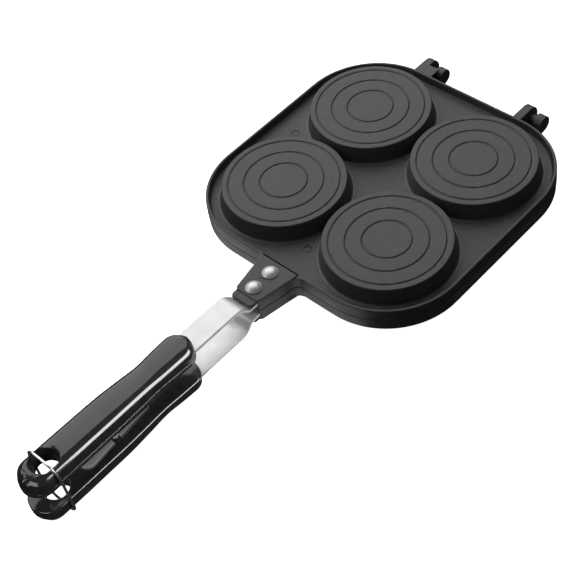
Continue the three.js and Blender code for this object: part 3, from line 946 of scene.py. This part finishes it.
def new_material(name, **values):
    """A material, its nodes and its shader, with an underscore for a space in a socket's name."""
    made = bpy.data.materials.new(name)
    made.use_nodes = True
    shader = made.node_tree.nodes["Principled BSDF"]
    for key, value in values.items():
        shader.inputs[key.replace("_", " ")].default_value = value
    return made, made.node_tree, shader


# Coating
coating_grain = 0.9 * MM
coating_grain_depth = 0.09 * MM
coating_ripple = 2.2 * MM
coating_ripple_depth = 0.05 * MM
coating_cloud = 14 * MM
coating_fleck = 0.9 * MM
# patch size of the lighter edges, which are partly coating wear and partly a painted edge highlight
edge_wear_highlight_patch = 3 * MM
coating_dark = (0.026, 0.027, 0.029)
coating_light = (0.066, 0.067, 0.07)
fleck_color = (0.105, 0.106, 0.11, 1)
# lighter edge colour: partly coating wear, partly a painted edge highlight
edge_wear_highlight_color = (0.16, 0.16, 0.165, 1)
# colour of the painted highlight line round each boss's foot
foot_highlight_color = (0.12, 0.12, 0.125, 1)
# colour of the painted shade in the joint groove behind the tongue's plate
joint_shade_color = (0.008, 0.008, 0.008, 1)
level_face = 0.999             # Z of a normal, from which a face counts as level and gets no lighter edge, neither wear nor painted highlight


def offset_from(tree, value, place):
    """How far a coordinate is from a place, on either side."""
    return maths(tree, "ABSOLUTE", maths(tree, "SUBTRACT", value, place))


def painted_foot_highlight(tree, place):
    """Mask of the thin painted highlight line round the foot of every boss."""
    parts = node(tree, "SeparateXYZ", {"Vector": place}).outputs
    across = maths(tree, "SUBTRACT", maths(tree, "ABSOLUTE", parts["X"]), boss_centre)
    along = maths(tree, "SUBTRACT", offset_from(tree, parts["Y"], pan_middle), boss_centre)
    across_square = maths(tree, "MULTIPLY", across, across)
    along_square = maths(tree, "MULTIPLY", along, along)
    radius = maths(tree, "SQRT", maths(tree, "ADD", across_square, along_square))
    off_line = offset_from(tree, radius, foot_highlight_radius)
    on_line = maths(tree, "LESS_THAN", off_line, foot_highlight_half_width)
    low = maths(tree, "LESS_THAN", offset_from(tree, parts["Z"], parting), floor_height + boss_fillet)
    return maths(tree, "MULTIPLY", on_line, low)


def painted_joint_shade(tree, place):
    """Mask of the painted shade in the joint groove where the tongue's raised plate meets the pan."""
    parts = node(tree, "SeparateXYZ", {"Vector": place}).outputs
    on_plate = maths(tree, "LESS_THAN", maths(tree, "ABSOLUTE", parts["X"]), tongue_back_half_width)
    off_line = offset_from(tree, parts["Y"], pan_middle + joint_back - joint_width / 2)
    on_line = maths(tree, "LESS_THAN", off_line, joint_width / 2 + EPSILON)
    high = maths(tree, "GREATER_THAN", offset_from(tree, parts["Z"], parting), floor_height + floor_fillet)
    return maths(tree, "MULTIPLY", maths(tree, "MULTIPLY", on_line, on_plate), high)


def coating_material():
    made, tree, shader = new_material("cast_coating", Metallic=0.0, IOR=1.5)
    place = node(tree, "TexCoord").outputs["Object"]
    grain = noise(tree, place, coating_grain, 3, 0.6)
    cloud = noise(tree, place, coating_cloud, 3)
    base = ramp(tree, grain, ((0.35, coating_dark), (0.65, coating_light)))
    base = blend(tree, "MULTIPLY", 0.35, base, ramp(tree, cloud, ((0.3, 0.75), (0.7, 1.15))))
    cells = node(tree, "TexVoronoi", {"Vector": place, "Scale": 1 / coating_fleck}).outputs
    fleck = ramp(tree, cells["Distance"], ((0.0, 1.0), (0.22, 0.0)))
    chosen = maths(tree, "GREATER_THAN", cells["Color"], 0.8)
    base = blend(tree, "MIX", maths(tree, "MULTIPLY", fleck, chosen), base, fleck_color)
    # Lighter sloped edges, in patches: partly coating wear, partly a painted edge highlight
    surface = node(tree, "NewGeometry").outputs
    pointed = ramp(tree, surface["Pointiness"], ((0.53, 0.0), (0.60, 1.0)))
    facing = node(tree, "SeparateXYZ", {"Vector": surface["Normal"]}).outputs["Z"]
    sloped = maths(tree, "LESS_THAN", maths(tree, "ABSOLUTE", facing), level_face)
    patches = noise(tree, place, edge_wear_highlight_patch, 2)
    edge_wear_highlight = maths(tree, "MULTIPLY", maths(tree, "MULTIPLY", pointed, sloped), patches)
    base = blend(tree, "MIX", edge_wear_highlight, base, edge_wear_highlight_color)
    # A painted highlight line round the foot of each boss
    base = blend(tree, "MIX", painted_foot_highlight(tree, place), base, foot_highlight_color)
    # Painted shade in the joint groove behind the tongue's raised plate
    base = blend(tree, "MIX", painted_joint_shade(tree, place), base, joint_shade_color)
    tree.links.new(base, shader.inputs["Base Color"])
    tree.links.new(ramp(tree, grain, ((0.3, 0.46), (0.7, 0.62))), shader.inputs["Roughness"])
    fine = bump(tree, shader, grain, coating_grain_depth, 1.0)
    bump(tree, shader, noise(tree, place, coating_ripple, 2), coating_ripple_depth, 0.6, fine)
    return made


# Steel
steel_cloud = 9 * MM
steel_dark_share = 0.86


def steel_material(name, color, rough_low, rough_high, brushed=(1, 1, 1), size=0.25 * MM, depth=0.01 * MM):
    made, tree, shader = new_material(name, Metallic=1.0)
    place = node(tree, "TexCoord").outputs["Object"]
    stretched = node(tree, "Mapping", {"Vector": place, "Scale": brushed}).outputs["Vector"]
    grain = noise(tree, stretched, size, 4, 0.6)
    cloud = noise(tree, place, steel_cloud, 3)
    dark = tuple(part * steel_dark_share for part in color)
    base = ramp(tree, grain, ((0.3, dark), (0.7, color)))
    base = blend(tree, "MULTIPLY", 0.5, base, ramp(tree, cloud, ((0.3, 0.86), (0.7, 1.06))))
    tree.links.new(base, shader.inputs["Base Color"])
    tree.links.new(ramp(tree, grain, ((0.3, rough_low), (0.7, rough_high))), shader.inputs["Roughness"])
    bump(tree, shader, grain, depth, 0.7)
    return made


# Plastic
plastic_waves = 6 * MM
plastic_wave_depth = 0.03 * MM
plastic_grain = 0.6 * MM
plastic_grain_depth = 0.003 * MM
plastic_dark = (0.006, 0.006, 0.0065)
plastic_light = (0.011, 0.011, 0.012)


def plastic_material():
    made, tree, shader = new_material(
        "grip_plastic", Metallic=0.0, IOR=1.46, Coat_Weight=0.2, Coat_Roughness=0.06)
    place = node(tree, "TexCoord").outputs["Object"]
    waves = noise(tree, place, plastic_waves, 2)
    fine = noise(tree, place, plastic_grain, 3)
    base = ramp(tree, waves, ((0.3, plastic_dark), (0.7, plastic_light)))
    tree.links.new(base, shader.inputs["Base Color"])
    tree.links.new(ramp(tree, fine, ((0.3, 0.11), (0.7, 0.15))), shader.inputs["Roughness"])
    first = bump(tree, shader, waves, plastic_wave_depth, 0.4)
    bump(tree, shader, fine, plastic_grain_depth, 0.4, first)
    return made


coating = coating_material()
strap_steel = steel_material("strap_steel", (0.66, 0.66, 0.665), 0.48, 0.6, brushed=(1, 0.06, 1))
rivet_steel = steel_material("rivet_steel", (0.62, 0.62, 0.63), 0.42, 0.56, size=0.5 * MM, depth=0.006 * MM)
ring_steel = steel_material("ring_steel", (0.9, 0.9, 0.9), 0.2, 0.3, size=0.4 * MM, depth=0.004 * MM)
screw_steel = steel_material("screw_steel", (0.5, 0.5, 0.505), 0.4, 0.55)
grip_plastic = plastic_material()

# Pieces
upright = Matrix.Translation((0, pan_middle, parting))
turned_over = upright @ Matrix.Rotation(math.pi, 4, "Y")


def add_piece(made, matrix, material, body, replaced):
    made.data.transform(matrix)
    made.data.materials.clear()
    made.data.materials.append(material)
    shade(made)
    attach(made, body)
    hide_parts(replaced)


def add_half(prefix, body, matrix, hinge_parts):
    plate = casting(f"{prefix}_casting", hinge_parts)
    add_piece(plate, matrix, coating, body, f"{prefix}_plate")
    add_piece(strap(f"{prefix}_strap_strip"), matrix, strap_steel, body, f"{prefix}_strap")
    for place in rivet_boxes:
        add_piece(rivet(f"{prefix}_{place}_rivet", place), matrix, rivet_steel, body,
                  f"{prefix}_rivet_{place}")
    add_piece(grip(f"{prefix}_handle"), matrix, grip_plastic, body, f"{prefix}_grip")
    add_piece(screw(f"{prefix}_screw"), matrix, screw_steel, body, f"{prefix}_grip_screw")


add_half("top", "upper_half", upright, upper_hinge())
add_half("bottom", "lower_half", turned_over, lower_hinge())
add_piece(locking_ring("locking_wire"), upright, ring_steel, "lock_ring", "lock_ring")

# Floor and backdrop, both glowing white
white = (1, 1, 1, 1)
paper_white = (0.9, 0.9, 0.9, 1)
paper_roughness = 0.9
floor_half = 6.0
floor_top = -0.5 * MM
floor_bottom = -20 * MM
backdrop_bottom = -30 * MM
backdrop_top = 4.0


def stage_block(name, low, high, material):
    made = to_object(name, block(low, high))
    made.data.materials.append(material)
    return made


floor_paper = new_material("floor_paper", Roughness=paper_roughness, Base_Color=paper_white,
                           Emission_Color=white, Emission_Strength=1.0)[0]
floor = stage_block("floor", (-floor_half, -floor_half, floor_bottom),
                    (floor_half, floor_half, floor_top), floor_paper)
backdrop = stage_block("backdrop", (-floor_half, -floor_half, backdrop_bottom),
                       (floor_half, floor_half, backdrop_top), floor_paper)
backdrop.visible_shadow = False
for paper in (floor, backdrop):
    paper.visible_diffuse = False
    paper.visible_glossy = False

# Camera at the photograph's viewing angle
camera_azimuth = math.radians(50.25)
camera_elevation = math.radians(49.03)
camera_roll = math.radians(-10.19)
camera_reach = (0.3955, -0.416, 0.5621)   # from the middle of the boss tops
sensor_width = 36                         # sensor and lens in millimetres
lens_length = 81.66
picture_size = 576
picture_shift = (0.74, 0.38)              # pixels
camera_data = bpy.data.cameras.new("camera")
camera_data.sensor_width = sensor_width
camera_data.lens = lens_length
camera_data.shift_x = -picture_shift[0] / picture_size
camera_data.shift_y = picture_shift[1] / picture_size
camera_data.clip_start = 0.01
camera_data.clip_end = 50
camera = bpy.data.objects.new("camera", camera_data)
scene.collection.objects.link(camera)
camera_place = Vector((
    camera_reach[0], pan_middle + camera_reach[1], parting + boss_height + camera_reach[2]))
aim = Euler((math.pi / 2 - camera_elevation, 0, camera_azimuth)).to_matrix().to_4x4()
camera.matrix_world = Matrix.Translation(camera_place) @ aim @ Matrix.Rotation(camera_roll, 4, "Z")
scene.camera = camera

# Light
scene.view_settings.view_transform = "Standard"
world = bpy.data.worlds.new("studio")
world.use_nodes = True
sky_direction = node(world.node_tree, "TexCoord").outputs["Generated"]
sky_height = node(world.node_tree, "SeparateXYZ", {"Vector": sky_direction}).outputs["Z"]
sky = ramp(world.node_tree, sky_height, ((0.0, 0.03), (0.08, 0.12)))
world.node_tree.links.new(sky, world.node_tree.nodes["Background"].inputs["Color"])
scene.world = world


def softbox(name, azimuth, elevation, distance, width, height, power):
    """A soft area light that looks at the pan. Azimuth 0 is from -Y and 90 from +X."""
    data = bpy.data.lights.new(name, "AREA")
    data.shape = "RECTANGLE"
    data.size = width
    data.size_y = height
    data.energy = power
    made = bpy.data.objects.new(name, data)
    scene.collection.objects.link(made)
    turn, rise = math.radians(azimuth), math.radians(elevation)
    back = Vector((math.sin(turn) * math.cos(rise), -math.cos(turn) * math.cos(rise), math.sin(rise)))
    made.location = back * distance
    made.rotation_mode = "QUATERNION"
    made.rotation_quaternion = back.to_track_quat("Z", "Y")
    made.visible_camera = False
    return made


def linked_softbox(names, name, **placing):
    """A softbox that lights only the named pieces."""
    made = softbox(name, **placing)
    lit = bpy.data.collections.new(name + "_lit")
    for piece in names:
        lit.objects.link(scene.objects[piece])
    made.light_linking.receiver_collection = lit


handles = ("top_handle", "bottom_handle")
low_steel = ("bottom_strap_strip", "locking_wire")
softbox("back_softbox", azimuth=238, elevation=42, distance=1.35, width=1.7, height=1.8, power=19)
softbox("front_softbox", azimuth=310, elevation=36, distance=1.3, width=0.7, height=0.5, power=2.4)
linked_softbox(handles, "side_strip",
               azimuth=116, elevation=30, distance=0.9, width=0.7, height=0.42, power=16)
linked_softbox(handles, "tail_softbox",
               azimuth=12, elevation=20, distance=0.9, width=0.6, height=0.5, power=3.6)
linked_softbox(low_steel, "steel_softbox",
               azimuth=110, elevation=60, distance=0.9, width=0.4, height=0.4, power=3.5)

# A pale card for the bright table in front of the pan, hidden from the camera
card_left = -120 * MM
card_right = 60 * MM
card_depth = 70 * MM
card_bottom = -0.4 * MM
card_top = -0.2 * MM
card_back = pan_middle - rim_half_width
card_paper = new_material("card_paper", Roughness=paper_roughness, Emission_Color=white,
                          Emission_Strength=0.75)[0]
card = stage_block("table_card", (card_left, card_back - card_depth, card_bottom),
                   (card_right, card_back, card_top), card_paper)
card.visible_camera = False
